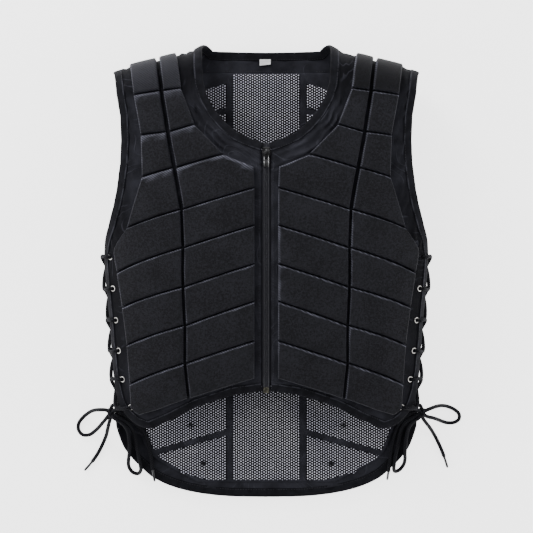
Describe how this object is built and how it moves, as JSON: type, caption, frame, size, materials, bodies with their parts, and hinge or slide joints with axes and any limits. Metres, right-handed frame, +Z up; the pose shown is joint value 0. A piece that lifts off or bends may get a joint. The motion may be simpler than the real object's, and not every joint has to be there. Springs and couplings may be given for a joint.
{
  "type": "equestrian body protector",
  "caption": "Rider's sleeveless body protector of foam blocks on two cloth panels, with a front zip and laced sides, lying on its back with the laces tied in bows.",
  "frame": {"origin": "under the middle of the vest, on the surface that it lies on", "axes": "+Z up from the surface, +Y towards the neck, +X to the right seen from above (the wearer's left side)"},
  "size_m": [0.5344, 0.6296, 0.1149],
  "materials": {
    "shell_cloth": "matt woven cloth",
    "block_cloth": "smooth knitted cloth with a fine grain",
    "lining_mesh": "open mesh over pale foam",
    "binding_tape": "ribbed stretch tape",
    "zip_tape": "woven tape",
    "zip_coil": "moulded teeth",
    "dark_metal": "dark enamel worn to bright edges",
    "label_cloth": "satin ribbon",
    "lace_cord": "braided round cord"
  },
  "bodies": {
    "vest": {"back_shell": "shell_cloth", "back_blocks": "block_cloth", "back_lining": "lining_mesh", "front_shell_left": "shell_cloth", "block_left_inner_1": "block_cloth", "block_left_outer_1": "block_cloth", "block_left_inner_2": "block_cloth", "block_left_outer_2": "block_cloth", "block_left_inner_3": "block_cloth", "block_left_outer_3": "block_cloth", "block_left_inner_4": "block_cloth", "block_left_outer_4": "block_cloth", "block_left_inner_5": "block_cloth", "block_left_outer_5": "block_cloth", "block_left_inner_6": "block_cloth", "block_left_outer_6": "block_cloth", "block_left_inner_7": "block_cloth", "block_left_outer_7": "block_cloth", "block_left_inner_8": "block_cloth", "block_left_outer_8": "block_cloth", "block_left_inner_9": "block_cloth", "block_left_outer_9": "block_cloth", "binding_left": "binding_tape", "zip_tape_left": "zip_tape", "lacing_left": "lace_cord", "front_shell_right": "shell_cloth", "block_right_inner_1": "block_cloth", "block_right_outer_1": "block_cloth", "block_right_inner_2": "block_cloth", "block_right_outer_2": "block_cloth", "block_right_inner_3": "block_cloth", "block_right_outer_3": "block_cloth", "block_right_inner_4": "block_cloth", "block_right_outer_4": "block_cloth", "block_right_inner_5": "block_cloth", "block_right_outer_5": "block_cloth", "block_right_inner_6": "block_cloth", "block_right_outer_6": "block_cloth", "block_right_inner_7": "block_cloth", "block_right_outer_7": "block_cloth", "block_right_inner_8": "block_cloth", "block_right_outer_8": "block_cloth", "block_right_inner_9": "block_cloth", "block_right_outer_9": "block_cloth", "binding_right": "binding_tape", "zip_tape_right": "zip_tape", "lacing_right": "lace_cord", "binding_neck": "binding_tape", "zip_teeth": "zip_coil", "zip_slider": "dark_metal", "neck_label": "label_cloth", "bow_loop_out_left": "lace_cord", "bow_tail_out_left": "lace_cord", "bow_loop_down_left": "lace_cord", "bow_tail_down_left": "lace_cord", "bow_loop_out_right": "lace_cord", "bow_tail_out_right": "lace_cord", "bow_loop_down_right": "lace_cord", "bow_tail_down_right": "lace_cord"},
    "pull": {"zip_pull": "dark_metal"}
  },
  "joints": [
    {"name": "pull_swing", "type": "hinge", "parent": "vest", "child": "pull", "pos_m": [0, 0.16323, 0.10415], "axis": [-1, 0, 0], "range_deg": [0, 150]}
  ]
}
